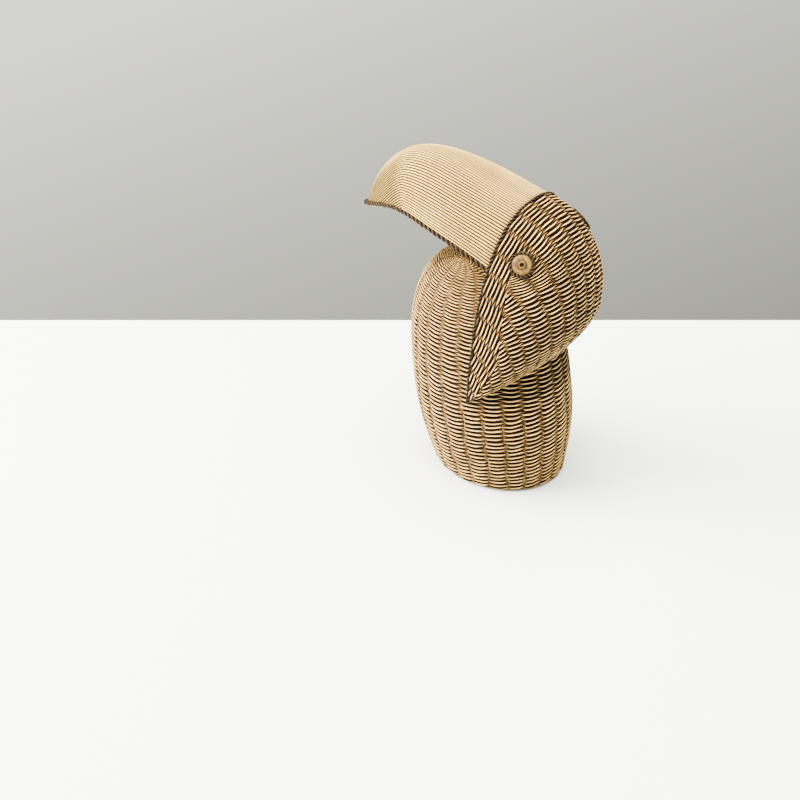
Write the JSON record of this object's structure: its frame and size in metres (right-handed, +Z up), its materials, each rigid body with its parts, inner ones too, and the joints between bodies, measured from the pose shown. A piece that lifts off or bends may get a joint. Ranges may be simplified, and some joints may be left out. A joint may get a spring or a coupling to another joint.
{
  "type": "bird ornament",
  "caption": "Cast resin toucan ornament surfaced like woven cane, with a rope-trimmed arched beak and ringed eyes, standing on a flat oval foot.",
  "frame": {"origin": "centre of the flat oval foot, on the surface the ornament stands on", "axes": "+Z up, the beak points along -Y, the bird's left side is +X"},
  "size_m": [0.093, 0.1566, 0.1961],
  "materials": {
    "cane_resin": "matt cast resin, dark wash in the hollows and pale dry-brushed strands"
  },
  "bodies": {
    "root": {"toucan": "cane_resin"}
  },
  "joints": []
}
